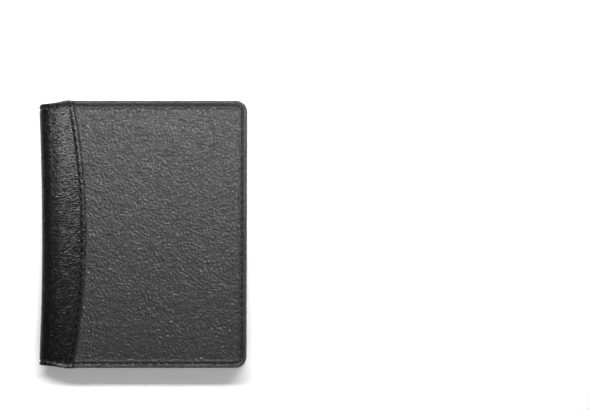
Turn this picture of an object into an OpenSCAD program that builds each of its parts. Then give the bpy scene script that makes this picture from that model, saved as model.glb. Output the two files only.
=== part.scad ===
// Folding leather card holder with three stepped card pockets on each side.
// It lies closed on its back cover. X runs from the spine to the opening side,
// Y along the spine, Z up through the thickness.

/* [Overall] */
// Width of the closed holder, from the spine to the opening side
closed_w = 78; // [72:0.5:96]
// Height of the holder, along the spine
closed_h = 100; // [90:0.5:125]
// Radius of the two outer corners of each cover
corner_r = 4; // [3:0.25:8]

/* [Cover] */
// Thickness of the cover leather
cover_t = 0.8; // [0.7:0.05:1.2]
// Thickness that the cover leather is skived to under the spine wrap
skive_t = 0.3; // [0.2:0.05:0.35]
// Width of the cover leather hidden under the spine wrap
underlap_w = 6; // [4:0.5:7]
// Thickness of the turned-in hem
hem_t = 0.65; // [0.5:0.05:0.9]
// Width of the turned-in hem
hem_w = 4; // [3.5:0.25:6]

/* [Spine] */
// Flat width of the spine wrap on each cover, at the ends of its curved edge
flank_w = 8.3; // [7.5:0.1:14]
// How far the curved edge bulges at the middle of the height
flank_bulge = 5; // [1:0.25:9]
// Thickness of the leather that lines the spine
spine_lining_t = 0.5; // [0.4:0.05:0.8]
// Width of the spine lining hidden under each innermost pocket
lining_underlap_w = 9; // [5:0.5:10]
// Width of the gap between the rigid pieces at each fold
fold_gap = 0.2; // [0.15:0.05:0.3]

/* [Stiffeners and fabric] */
// Thickness of the stiffener boards and of the spine core
board_t = 0.6; // [0.5:0.05:1]
// Thickness of the fabric that lines each cover
fabric_t = 0.25; // [0.15:0.05:0.35]
// Thickness of the fabric bag behind a pocket's leather strip
bag_t = 0.2; // [0.15:0.05:0.3]
// Clearance between a loose piece and the walls around it
fit_gap = 0.1; // [0.05:0.05:0.2]
// Clearance between the two inner faces when the holder is closed
closing_gap = 0.3; // [0.2:0.05:1]

/* [Pockets] */
// Thickness of the pocket leather
pocket_t = 0.5; // [0.4:0.05:0.8]
// Clearance of an empty card slot
slot_gap = 0.1; // [0.05:0.05:0.3]
// Distance from the spine's bend to the innermost pocket mouth, front cover
front_inset = 1.5; // [1:0.25:3]
// Distance from one pocket mouth to the next, front cover
front_step = 11.25; // [10:0.25:13.5]
// Distance from the spine's bend to the innermost pocket mouth, back cover
back_inset = 1; // [1:0.25:3]
// Distance from one pocket mouth to the next, back cover
back_step = 10.5; // [10:0.25:13.5]
// Width of a pocket's leather hidden under the pocket in front of it
strip_underlap_w = 8; // [5:0.5:10]

/* [Stitching] */
// Distance from the edge to the perimeter stitching
edge_stitch_inset = 2; // [1.5:0.1:2.6]
// Distance from the curved edge to its stitching
seam_stitch_inset = 1.7; // [1.2:0.1:2.5]
// Width of the thread
thread_w = 0.5; // [0.4:0.05:0.7]
// Depth of the thread's groove
thread_h = 0.25; // [0.2:0.05:0.3]
// Clearance on each side of the thread in its groove
groove_gap = 0.05; // [0.05:0.05:0.1]

/* [Hidden] */

$fn = 64;
seam_fn = 360;
// How far a cut runs past the face that it opens.
overcut = 1;

// Depths below the outer face, layer by layer.
level_t = pocket_t + slot_gap;
board_z = cover_t;
lining_z = board_z + board_t;
base_z = lining_z + spine_lining_t;
stack_z = base_z + 3 * level_t;
half_t = stack_z + hem_t;
closed_t = 2 * half_t + closing_gap;

// The spine is a half round whose outer radius is half the closed thickness.
bend_r = closed_t / 2;
out_x = closed_w / 2;
bend_x = bend_r - closed_w / 2;
// The covers turn about axes just outside the skin, at a quarter and three
// quarters of the half round, so that the spine lies flat when fully open.
fold_offset = bend_r * PI / 4;

// Radii of the bent layers.
wrap_in_r = bend_r - cover_t;
lining_out_r = bend_r - lining_z;
lining_in_r = bend_r - base_z;
hem_in_r = lining_in_r - hem_t;

// Circle of the spine wrap's curved edge.
seam_mid_x = bend_x + flank_w + flank_bulge;
seam_r = (pow(closed_h / 2, 2) + pow(flank_bulge, 2)) / (2 * flank_bulge);

// Pocket mouths of each cover, innermost first.
front_mouths = [for (i = [0:2]) bend_x + front_inset + i * front_step];
back_mouths = [for (i = [0:2]) bend_x + back_inset + i * back_step];

inner_inset = cover_t + fit_gap;
groove_w = thread_w + 2 * groove_gap;

leather = [0.13, 0.13, 0.13];
dark_leather = [0.09, 0.09, 0.09];
fabric = [0.06, 0.06, 0.07];
board = [0.35, 0.3, 0.25];
thread = [0.03, 0.03, 0.03];

// ---- flat outlines, seen from above ----

// A cover's flat area, taken in by inset on its three free sides.
module outline(inset) {
    w = out_x - bend_x - inset;
    h = closed_h - 2 * inset;
    r = corner_r - inset;
    translate([bend_x, 0])
        if (r > 0) {
            translate([0, -h / 2]) square([w - r, h]);
            translate([0, r - h / 2]) square([w, h - 2 * r]);
            for (side = [-1, 1])
                translate([w - r, side * (h / 2 - r)]) circle(r);
        } else {
            translate([0, -h / 2]) square([w, h]);
        }
}

// Everything on the spine's side of the curved edge, taken in by inset.
module seam_disc(inset) {
    translate([seam_mid_x - seam_r, 0]) circle(seam_r - inset, $fn = seam_fn);
}

// A band of that width around the three free sides.
module rim(inset, width) {
    difference() {
        outline(inset);
        outline(inset + width);
    }
}

module edge_track(width) {
    rim(edge_stitch_inset - width / 2, width);
}

// The run of the curved edge's stitching, clear of the perimeter stitching.
module seam_track(width) {
    intersection() {
        difference() {
            seam_disc(seam_stitch_inset - width / 2);
            seam_disc(seam_stitch_inset + width / 2);
        }
        outline(edge_stitch_inset + groove_w + (groove_w - width) / 2);
    }
}

module cover_area() {
    difference() {
        outline(0);
        seam_disc(0);
    }
}

module flank_area() {
    intersection() {
        outline(0);
        seam_disc(0);
    }
}

module underlap_area() {
    intersection() {
        outline(inner_inset);
        difference() {
            seam_disc(0);
            seam_disc(underlap_w);
        }
    }
}

// ---- profiles, seen along the spine ----

// Staircase of the pocket stack from the spine outwards; lift moves it off the
// pockets by a leather thickness, upwards and towards the spine.
function stairs(mouths, lift) = concat(
    [[bend_x, base_z + lift]],
    [for (i = [0:2], top = [0, 1])
        [mouths[i] - lift, base_z + (i + top) * level_t + lift]],
    [[out_x, stack_z + lift]]
);

function backwards(points) = [for (i = [len(points) - 1:-1:0]) points[i]];

module along_spine() {
    rotate([90, 0, 0])
        linear_extrude(closed_h + 2 * overcut, center = true) children();
}

// Space between two lifts of the staircase.
module between_stairs(mouths, low, high) {
    along_spine()
        polygon(concat(stairs(mouths, low), backwards(stairs(mouths, high))));
}

// Space from the outer face up to a lift of the staircase.
module below_stairs(mouths, high) {
    along_spine()
        polygon(concat([[out_x, 0], [bend_x, 0]], stairs(mouths, high)));
}

// Part of the bend that belongs to one body: the quarter by a cover or the middle.
module fold_sector(part) {
    far = 2 * bend_r;
    inset = fold_gap / sqrt(2);
    if (part == "middle")
        polygon([[-inset, 0], [-inset - far, far], [-inset - far, -far]]);
    else
        polygon([[0, -inset], [-far, -inset - far], [0, -inset - far]]);
}

// A bent layer between two radii, over y from low to high.
module bent(part, in_r, out_r, low, high) {
    translate([bend_x, high, bend_r])
        rotate([90, 0, 0])
            linear_extrude(high - low)
                intersection() {
                    difference() {
                        circle(out_r);
                        circle(in_r);
                    }
                    fold_sector(part);
                }
}

// The same bent strip at both ends of the spine.
module bent_ends(part, in_r, out_r, inset, width) {
    high = closed_h / 2 - inset;
    bent(part, in_r, out_r, high - width, high);
    bent(part, in_r, out_r, -high, width - high);
}

// ---- pieces of one half, lying with the outer face down ----

// The wall and hem that the leather is turned into around the edge.
module turned_edge(mouths) {
    intersection() {
        linear_extrude(half_t) rim(0, cover_t);
        below_stairs(mouths, hem_t);
    }
    intersection() {
        linear_extrude(half_t) rim(0, hem_w);
        between_stairs(mouths, 0, hem_t);
    }
}

// Grooves for the perimeter thread, in the outer face and in the hem.
module edge_grooves(mouths) {
    translate([0, 0, -overcut]) linear_extrude(overcut + thread_h) edge_track(groove_w);
    intersection() {
        linear_extrude(closed_t) edge_track(groove_w);
        between_stairs(mouths, hem_t - thread_h, hem_t + overcut);
    }
}

module cover_leather(mouths) {
    difference() {
        union() {
            linear_extrude(cover_t) cover_area();
            translate([0, 0, cover_t - skive_t]) linear_extrude(skive_t) underlap_area();
            intersection() {
                turned_edge(mouths);
                linear_extrude(half_t) cover_area();
            }
        }
        edge_grooves(mouths);
    }
}

// The spine wrap on a cover, with its quarter of the bend.
module wrap_flank(mouths) {
    difference() {
        union() {
            difference() {
                linear_extrude(cover_t) flank_area();
                translate([0, 0, cover_t - skive_t]) linear_extrude(cover_t) underlap_area();
            }
            intersection() {
                turned_edge(mouths);
                linear_extrude(half_t) flank_area();
            }
            wrap_bend("side");
        }
        edge_grooves(mouths);
        bend_grooves("side");
        translate([0, 0, -overcut]) linear_extrude(overcut + thread_h) seam_track(groove_w);
    }
}

// The wrap around the bend, with its end walls and hems.
module wrap_bend(part) {
    half_h = closed_h / 2;
    bent(part, wrap_in_r, bend_r, -half_h, half_h);
    bent_ends(part, hem_in_r, bend_r, 0, cover_t);
    bent_ends(part, hem_in_r, lining_in_r, 0, hem_w);
}

module bend_grooves(part) {
    inset = edge_stitch_inset - groove_w / 2;
    bent_ends(part, bend_r - thread_h, bend_r + overcut, inset, groove_w);
    bent_ends(part, hem_in_r - overcut, hem_in_r + thread_h, inset, groove_w);
}

module bend_thread(part) {
    inset = edge_stitch_inset - thread_w / 2;
    bent_ends(part, bend_r - thread_h, bend_r, inset, thread_w);
    bent_ends(part, hem_in_r, hem_in_r + thread_h, inset, thread_w);
}

module edge_thread(mouths) {
    linear_extrude(thread_h) edge_track(thread_w);
    intersection() {
        linear_extrude(half_t) edge_track(thread_w);
        between_stairs(mouths, hem_t - thread_h, hem_t);
    }
    bend_thread("side");
}

module seam_thread() {
    linear_extrude(thread_h) seam_track(thread_w);
}

// A flat sheet between two x positions, clear of the turned edge's walls.
module sheet(from_x, to_x, low, thickness) {
    translate([0, 0, low])
        linear_extrude(thickness)
            intersection() {
                outline(inner_inset);
                translate([from_x, -closed_h]) square([to_x - from_x, 2 * closed_h]);
            }
}

module stiffener_board() {
    sheet(bend_x + fit_gap, out_x, board_z, board_t);
}

function lining_end(mouths) = mouths[0] + lining_underlap_w;

module fabric_lining(mouths) {
    sheet(lining_end(mouths) + fit_gap, out_x, lining_z, fabric_t);
}

// The leather lining of the spine on a cover, with its quarter of the bend.
module lining_flank(mouths) {
    sheet(bend_x, lining_end(mouths), lining_z, spine_lining_t);
    lining_bend("side");
}

module lining_bend(part) {
    half_h = closed_h / 2 - inner_inset;
    bent(part, lining_in_r, lining_out_r, -half_h, half_h);
}

module core_bend() {
    half_h = closed_h / 2 - inner_inset;
    bent("middle", lining_out_r, wrap_in_r, -half_h, half_h);
}

function pocket_z(level) = base_z + level * level_t + slot_gap;

// Depth of every pocket, set by the outermost one reaching the stitching.
function pocket_depth(mouths) = out_x - edge_stitch_inset - mouths[2];

// The full pocket panel nearest the eye when the holder is open.
module pocket_panel(mouths) {
    sheet(mouths[2], out_x, pocket_z(2), pocket_t);
}

function strip_end(mouths, level) = mouths[level + 1] + strip_underlap_w;

// A leather strip that shows beside the pocket in front of it.
module pocket_strip(mouths, level) {
    sheet(mouths[level], strip_end(mouths, level), pocket_z(level), pocket_t);
}

// The fabric that carries a strip's pocket on to its full depth.
module pocket_bag(mouths, level) {
    sheet(strip_end(mouths, level), mouths[level] + pocket_depth(mouths),
          pocket_z(level) + pocket_t - bag_t, bag_t);
}

// Turns a half over onto its place on top.
module on_top() {
    translate([0, 0, closed_t]) mirror([0, 0, 1]) children();
}

// ---- nodes ----

module front_cover() { color(leather) on_top() cover_leather(front_mouths); }
module front_board() { color(board) on_top() stiffener_board(); }
module front_lining() { color(fabric) on_top() fabric_lining(front_mouths); }
module front_pocket_1() { color(leather) on_top() pocket_panel(front_mouths); }
module front_pocket_2() { color(leather) on_top() pocket_strip(front_mouths, 1); }
module front_pocket_3() { color(leather) on_top() pocket_strip(front_mouths, 0); }
module front_pocket_2_bag() { color(fabric) on_top() pocket_bag(front_mouths, 1); }
module front_pocket_3_bag() { color(fabric) on_top() pocket_bag(front_mouths, 0); }
module front_edge_stitching() { color(thread) on_top() edge_thread(front_mouths); }
module front_seam_stitching() { color(thread) on_top() seam_thread(); }
module spine_wrap_front() { color(dark_leather) on_top() wrap_flank(front_mouths); }
module spine_lining_front() { color(leather) on_top() lining_flank(front_mouths); }

module spine_wrap_middle() {
    color(dark_leather)
        difference() {
            wrap_bend("middle");
            bend_grooves("middle");
        }
}
module spine_core() { color(board) core_bend(); }
module spine_lining_middle() { color(leather) lining_bend("middle"); }
module spine_edge_stitching() { color(thread) bend_thread("middle"); }

module spine_wrap_back() { color(dark_leather) wrap_flank(back_mouths); }
module spine_lining_back() { color(leather) lining_flank(back_mouths); }
module back_cover() { color(leather) cover_leather(back_mouths); }
module back_board() { color(board) stiffener_board(); }
module back_lining() { color(fabric) fabric_lining(back_mouths); }
module back_pocket_1() { color(leather) pocket_panel(back_mouths); }
module back_pocket_2() { color(dark_leather) pocket_strip(back_mouths, 1); }
module back_pocket_3() { color(leather) pocket_strip(back_mouths, 0); }
module back_pocket_2_bag() { color(fabric) pocket_bag(back_mouths, 1); }
module back_pocket_3_bag() { color(fabric) pocket_bag(back_mouths, 0); }
module back_edge_stitching() { color(thread) edge_thread(back_mouths); }
module back_seam_stitching() { color(thread) seam_thread(); }

front_cover();
front_board();
front_lining();
front_pocket_1();
front_pocket_2();
front_pocket_3();
front_pocket_2_bag();
front_pocket_3_bag();
front_edge_stitching();
front_seam_stitching();
spine_wrap_front();
spine_lining_front();
spine_wrap_middle();
spine_core();
spine_lining_middle();
spine_edge_stitching();
spine_wrap_back();
spine_lining_back();
back_cover();
back_board();
back_lining();
back_pocket_1();
back_pocket_2();
back_pocket_3();
back_pocket_2_bag();
back_pocket_3_bag();
back_edge_stitching();
back_seam_stitching();
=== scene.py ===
import math
import bmesh
import bpy
import numpy as np
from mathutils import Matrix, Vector


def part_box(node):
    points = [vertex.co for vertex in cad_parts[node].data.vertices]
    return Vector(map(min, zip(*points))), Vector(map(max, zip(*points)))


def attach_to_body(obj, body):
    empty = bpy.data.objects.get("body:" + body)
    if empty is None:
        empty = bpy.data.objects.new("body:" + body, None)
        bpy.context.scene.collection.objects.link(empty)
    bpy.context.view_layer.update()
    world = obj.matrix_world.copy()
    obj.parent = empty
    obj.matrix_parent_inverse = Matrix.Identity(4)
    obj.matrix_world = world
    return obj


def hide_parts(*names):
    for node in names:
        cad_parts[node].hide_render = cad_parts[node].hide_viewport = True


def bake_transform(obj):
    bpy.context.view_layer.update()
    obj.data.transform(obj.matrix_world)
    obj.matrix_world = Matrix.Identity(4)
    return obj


# A folding leather card holder, closed and lying on its back cover.
# Shapes are worked out in millimetres. Each half is drawn with its outer face down:
# x runs from the spine to the opening side, y along the spine, and h is the depth
# below the outer face. The back half is used so, and the front half is turned over on top.

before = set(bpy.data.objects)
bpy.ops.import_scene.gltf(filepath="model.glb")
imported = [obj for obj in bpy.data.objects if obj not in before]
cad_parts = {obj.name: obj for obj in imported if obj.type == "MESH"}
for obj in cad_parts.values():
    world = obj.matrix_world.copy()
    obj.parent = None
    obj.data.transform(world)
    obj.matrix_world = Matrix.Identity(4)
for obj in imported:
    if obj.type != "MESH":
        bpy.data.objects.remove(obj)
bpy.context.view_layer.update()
mm = 0.001
print("frame loaded:", len(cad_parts), "nodes")


def nodeBox(node):
    # the low and the high corner of one of the frame's nodes
    low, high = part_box(node)
    return np.array(low) / mm, np.array(high) / mm


holder = {
    "outX": nodeBox("front_cover")[1][0],          # opening side
    "halfH": nodeBox("front_cover")[1][1],         # half of the height
    "thick": nodeBox("front_cover")[1][2],         # closed thickness
    "cornerR": 4.0,                # outer corners
    "wall": 0.8,                   # leather at the turned edge
    "hemW": 4.0,                   # width of the turned hem
    "hemT": 0.65,                  # thickness of the turned hem
    "stitchIn": 1.6,               # perimeter stitching, from the edge
    "pitch": 3.2,                  # length of one stitch
    "holeWidth": 0.42,
    "step": 0.32,                  # grid step of the grained faces
}
outX, halfH, thick = holder["outX"], holder["halfH"], holder["thick"]
cornerR, wall, hemW, hemT = (holder[k] for k in ("cornerR", "wall", "hemW", "hemT"))
bendR = thick / 2                  # the spine is a half round
bendX = nodeBox("spine_wrap_middle")[0][0] + bendR
bendLength = bendR * math.pi / 2   # skin from the flat to the middle of the spine
halves = ("front", "back")
print("closed thickness", round(thick, 2), "mm, spine bend starts at x", round(bendX, 2), "mm")

# depths of the layers and the pocket mouths, innermost first, from the frame
boardLow, boardHigh = nodeBox("back_board")[0][2], nodeBox("back_board")[1][2]
liningLow = boardHigh
pocketLow = [nodeBox(f"back_pocket_{k}")[0][2] for k in (3, 2, 1)]
pocketHigh = [nodeBox(f"back_pocket_{k}")[1][2] for k in (3, 2, 1)]
levelT = pocketHigh[1] - pocketHigh[0]
liningHigh = pocketHigh[0] - levelT
mouths = {half: [nodeBox(f"{half}_pocket_{k}")[0][0] for k in (3, 2, 1)] for half in halves}
innerY = nodeBox("back_board")[1][1]         # pockets and boards end here

# how the soft leather has settled: the spine is pinched and its ends are pulled in
settle = {
    "from": bendX + 7.5,           # x where it starts
    "to": bendX - 3.0,             # x where it is full
    "pinch": 1.05,                 # at the middle of the height
    "pullTop": 1.1,
    "pullBottom": 0.6,
    "round": 0.9,                  # the upper end's corner, more at the very edge
    "roundWidth": 1.5,
    "lean": 0.35,                  # the opening side leans out at the top
    "leanMiddle": 0.55,            # share of it at the middle of the height
    "leanFrom": -10.0,
    "sag": 0.25,                   # the lower edge hangs out a little
    "bump": 0.25,                  # the outline swells where the wrap ends
    "bumpAt": bendX + 6.5,
    "bumpWidth": 2.4,
    "roll": 0.75,                  # the covers slope down towards the spine
    "rollFrom": bendX + 4.8,
    "rollWidth": 3.3,
    "rollEase": 0.25,              # how soon the slope levels out again
}


def smooth(t):
    # 3t^2 - 2t^3 between 0 and 1, level outside
    t = np.clip(t, 0.0, 1.0)
    return t * t * (3 - 2 * t)


def settled(x, y):
    # x moves towards the opening side by the pinch, a parabola along the height, and by the
    # lean; y shrinks in proportion towards the ends and grows by the sag and the bump.
    # the pinch and the pull fade out away from the spine
    near = smooth((settle["from"] - x) / (settle["from"] - settle["to"]))
    pull = np.where(y > 0, settle["pullTop"], settle["pullBottom"])
    corner = np.clip((settle["to"] - x) / settle["roundWidth"], 0, 1) ** 2
    pull = pull + settle["round"] * (y > 0) * corner
    movedX = x + settle["pinch"] * near * (1 - (y / halfH) ** 2)
    lean = settle["lean"] * (settle["leanMiddle"] + (1 - settle["leanMiddle"]) * y / halfH)
    movedX = movedX + lean * smooth((x - settle["leanFrom"]) / (outX - settle["leanFrom"]))
    swell = settle["bump"] * np.exp(-(((x - settle["bumpAt"]) / settle["bumpWidth"]) ** 2))
    swell = swell + settle["sag"] * (y < 0) * (1 - near)
    return movedX, y * (1 + (swell - near * pull) / halfH)


def rolled(x, h):
    # depth grows with the square of the way past the start, less so deeper in
    past = np.clip((settle["rollFrom"] - x) / settle["rollWidth"], 0, None) ** 2
    return h + settle["roll"] * past / (1 + settle["rollEase"] * past) * (1 - h / bendR)


# one square of random numbers that every noise and every grain draws from
latticeSize = 256
latticeStart = (31.7, 57.3)        # keeps the noise's plain corner away from the middle
lattice = np.random.default_rng(11).random((latticeSize, latticeSize, 3))


def softNoise(x, y, size, layer=2):
    # values at the points of a square lattice, mixed with the smooth weights; -1 to 1
    u, v = x / size + latticeStart[0], y / size + latticeStart[1]
    i, j = np.floor(u).astype(int), np.floor(v).astype(int)
    a, b = smooth(u - i), smooth(v - j)

    def at(di, dj):
        return lattice[(i + di) % latticeSize, (j + dj) % latticeSize, layer]

    low = at(0, 0) * (1 - a) + at(1, 0) * a
    high = at(0, 1) * (1 - a) + at(1, 1) * a
    return 2 * (low * (1 - b) + high * b) - 1


def pebbles(x, y, size, stretch, angle):
    # distance to the second nearest minus distance to the nearest of one jittered
    # point per lattice cell: 0 on the creases, about 0.8 in the middle of a pebble
    c, s = math.cos(math.radians(angle)), math.sin(math.radians(angle))
    u, v = (x * c + y * s) / (size * stretch), (y * c - x * s) / size
    u, v = u + 0.25 * softNoise(u, v, 2.3, 0), v + 0.25 * softNoise(u, v, 1.9, 1)
    i, j = np.floor(u).astype(int), np.floor(v).astype(int)
    first, second = np.full(u.shape, 9.0), np.full(u.shape, 9.0)
    tone = np.zeros(u.shape)
    for di in (-1, 0, 1):
        for dj in (-1, 0, 1):
            point = lattice[(i + di) % latticeSize, (j + dj) % latticeSize]
            far = np.hypot(i + di + point[..., 0] - u, j + dj + point[..., 1] - v)
            nearer = far < first
            second = np.where(nearer, first, np.minimum(second, far))
            tone = np.where(nearer, point[..., 2], tone)
            first = np.where(nearer, far, first)
    return second - first, tone


pebble = {
    "full": 0.9,                   # gap at which a dome has its full height
    "rounding": 0.8,               # below 1 the domes are flatter on top
    "uneven": 0.25,                # how much the creases differ in depth
    "tone": 0.25,                  # how much single pebbles differ in height
}


def grained(x, y, grain):
    # domed pebbles between creases, each pebble at its own height, on a slow swell;
    # gives the depth of the surface and how much each point stands out (0 to 1)
    gap, tone = pebbles(x, y, grain["size"], grain["stretch"], grain["angle"])
    dome = np.clip(gap / pebble["full"], 0, 1) ** pebble["rounding"]
    top = smooth(gap / grain["crease"])
    swell = softNoise(x, y, 9.0) * 0.6 + softNoise(x, y, 4.1, 0) * 0.4
    uneven = 1 - pebble["uneven"] + pebble["uneven"] * softNoise(x, y, 3.3, 1)
    depth = grain["depth"] * ((1 - dome) * uneven + pebble["tone"] * tone)
    stand = top * (1 - pebble["tone"] + pebble["tone"] * tone)
    return depth + grain["swell"] * (0.5 - 0.5 * swell), stand


class Patches:
    # grids of points and closing polygons that are welded where they meet
    def __init__(self):
        self.points, self.flats, self.stands = [], [], []
        self.quads, self.rings, self.count = [], [], 0

    def grid(self, x, y, z, flatX, flatY, stand=1.0):
        x, y, z, flatX, flatY, stand = np.broadcast_arrays(x, y, z, flatX, flatY, stand)
        number = np.arange(x.size).reshape(x.shape) + self.count
        self.points.append(np.stack([x, y, z], -1).reshape(-1, 3))
        self.flats.append(np.stack([flatX, flatY, 0 * flatX], -1).reshape(-1, 3))
        self.stands.append(stand.reshape(-1))
        self.count += x.size
        self.join(number)
        return number

    def join(self, number):
        # four-sided faces between neighbouring rows and columns of point numbers
        a, b = number[:-1, :-1], number[1:, :-1]
        c, d = number[1:, 1:], number[:-1, 1:]
        self.quads.append(np.stack([a, b, c, d], -1).reshape(-1, 4))

    def ring(self, numbers):
        self.rings.append(np.asarray(numbers))

    def build(self, name, finish):
        # welds points that lie within a ten-thousandth of a millimetre, drops what the
        # weld has flattened, and turns all the faces outwards
        points = np.concatenate(self.points)
        flats, stands = np.concatenate(self.flats), np.concatenate(self.stands)
        _, keep, where = np.unique(np.round(points * 1e4).astype(np.int64), axis=0,
                                   return_index=True, return_inverse=True)
        where = where.reshape(-1)
        quads = where[np.concatenate(self.quads)]
        same = quads == np.roll(quads, -1, axis=1)
        whole = quads[same.sum(1) == 0]
        thin, thinSame = quads[same.sum(1) == 1], same[same.sum(1) == 1]
        threes = thin[~thinSame].reshape(-1, 3)
        rings = []
        for ring in self.rings:
            numbers = where[ring]
            numbers = numbers[numbers != np.roll(numbers, 1)]
            rings.append(numbers)
        loops = np.concatenate([whole.reshape(-1), threes.reshape(-1), *rings])
        sizes = np.concatenate([np.full(len(whole), 4), np.full(len(threes), 3),
                                [len(r) for r in rings]]).astype(np.int64)
        mesh = bpy.data.meshes.new(name)
        mesh.vertices.add(len(keep))
        mesh.vertices.foreach_set("co", (points[keep] * mm).astype(np.float32).ravel())
        mesh.loops.add(len(loops))
        mesh.loops.foreach_set("vertex_index", loops.astype(np.int32))
        mesh.polygons.add(len(sizes))
        starts = np.concatenate([[0], np.cumsum(sizes)[:-1]])
        mesh.polygons.foreach_set("loop_start", starts.astype(np.int32))
        flat = np.zeros(len(sizes), bool)
        flat[len(sizes) - len(rings):] = True
        mesh.polygons.foreach_set("use_smooth", ~flat)
        mesh.update(calc_edges=True)
        flatAttribute = mesh.attributes.new("flat", "FLOAT_VECTOR", "POINT")
        flatAttribute.data.foreach_set("vector", (flats[keep] * mm).astype(np.float32).ravel())
        standAttribute = mesh.attributes.new("stand", "FLOAT", "POINT")
        standAttribute.data.foreach_set("value", stands[keep].astype(np.float32))
        work = bmesh.new()
        work.from_mesh(mesh)
        bmesh.ops.recalc_face_normals(work, faces=work.faces)
        work.to_mesh(mesh)
        work.free()
        mesh.materials.append(finish)
        piece = bpy.data.objects.new(name, mesh)
        bpy.context.scene.collection.objects.link(piece)
        return piece


def placed(half, x, y, h):
    # a point of a half drawn with its outer face down, settled and in its place
    movedX, movedY = settled(x, y)
    movedX, movedY, h = np.broadcast_arrays(movedX, movedY, rolled(x, h))
    return movedX, movedY, (h if half == "back" else thick - h)


def flatOf(half, x, y):
    # the leather laid flat: the back half continues the front one past the mid-spine
    return (x, y) if half == "front" else (2 * (bendX - bendLength) - x, y)


def bent(u, h):
    # unrolled x and depth to x and depth: below bendX the skin turns a quarter round
    turn = np.clip((bendX - u) / bendR, 0, math.pi / 2)
    x = np.where(u < bendX, bendX - (bendR - h) * np.sin(turn), u)
    return x, np.where(u < bendX, bendR - (bendR - h) * np.cos(turn), h)


def bodyPoint(half, x, z):
    return (x * mm, 0.0, (z if half == "back" else thick - z) * mm)


def attach(piece, half, nodes, bendDepth=None):
    # rides on its half; given a bend depth, it is baked where it was built and tied to no body,
    # and the bend's ends at that depth are worked out but not used
    if bendDepth is None:
        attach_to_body(piece, half)
    else:
        start = bodyPoint(half, bendX, bendDepth)
        end = bodyPoint(half, bendX - bendR + bendDepth + settle["pinch"], bendR)
        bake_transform(piece)
    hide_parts(*nodes)
    return piece


class Wire:
    # a node's output; the operators add Math nodes, and node() makes any other
    def __init__(self, tree, socket=None):
        self.tree, self.socket = tree, socket

    def node(self, kind, settings=None, inputs=None, output=0):
        made = self.tree.nodes.new(kind)
        for key, value in (settings or {}).items():
            setattr(made, key, value)
        for key, value in (inputs or {}).items():
            if isinstance(value, Wire):
                self.tree.links.new(value.socket, made.inputs[key])
            else:
                made.inputs[key].default_value = value
        return Wire(self.tree, made.outputs[output])

    def maths(self, operation, first, second=0.0):
        return self.node("ShaderNodeMath", {"operation": operation}, {0: first, 1: second})

    def __add__(self, other):
        return self.maths("ADD", self, other)

    __radd__ = __add__

    def __sub__(self, other):
        return self.maths("SUBTRACT", self, other)

    def __rsub__(self, other):
        return self.maths("SUBTRACT", other, self)

    def __mul__(self, other):
        return self.maths("MULTIPLY", self, other)

    __rmul__ = __mul__

    def ramp(self, low, high):
        # smooth 0 to 1 between low and high
        settings = {"interpolation_type": "SMOOTHSTEP"}
        inputs = {"Value": self, "From Min": low, "From Max": high}
        return self.node("ShaderNodeMapRange", settings, inputs)

    def mix(self, first, second):
        # colours, by this wire as the factor
        settings = {"data_type": "RGBA"}
        return self.node("ShaderNodeMix", settings, {0: self, 6: first, 7: second}, output=2)

    def stretched(self, stretch, turn):
        # longer by the stretch along the direction at that many degrees
        inputs = {"Vector": self, "Rotation": (0, 0, math.radians(turn)),
                  "Scale": (stretch, 1, 1)}
        return self.node("ShaderNodeMapping", {"vector_type": "TEXTURE"}, inputs)

    def noise(self, scale, detail=2.0, roughness=0.5):
        inputs = {"Vector": self, "Scale": scale, "Detail": detail, "Roughness": roughness}
        return self.node("ShaderNodeTexNoise", None, inputs)

    def cells(self, scale, feature="DISTANCE_TO_EDGE"):
        inputs = {"Vector": self, "Scale": scale}
        return self.node("ShaderNodeTexVoronoi", {"feature": feature}, inputs)

    def attribute(self, name, output):
        # output 1 is a vector attribute, 2 a single number
        return self.node("ShaderNodeAttribute", {"attribute_name": name}, None, output)

    def bump(self, height, strength, distance):
        inputs = {"Strength": strength, "Distance": distance, "Height": height}
        return self.node("ShaderNodeBump", None, inputs)


def newFinish(name):
    finish = bpy.data.materials.new(name)
    finish.use_nodes = True
    tree = finish.node_tree
    surface = next(n for n in tree.nodes if n.type == "BSDF_PRINCIPLED")
    return finish, Wire(tree), surface


def setSurface(wire, surface, values):
    for key, value in values.items():
        if isinstance(value, Wire):
            wire.tree.links.new(value.socket, surface.inputs[key])
        else:
            surface.inputs[key].default_value = value


def grey(value, warmth=0.0):
    return (value * (1 + warmth), value, value * (1 - warmth), 1.0)


leather = {
    "wander": 0.8,                 # scales of the noises, by that of the cells
    "fine": 2.2,
    "creaseWidth": 0.22,
    "patches": 60.0,               # scale of the broad patches, per metre
    "bumpDepth": 0.0002,
    "wearShadeFrom": 0.3,
    "wearShadeTo": 0.95,
}


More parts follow.
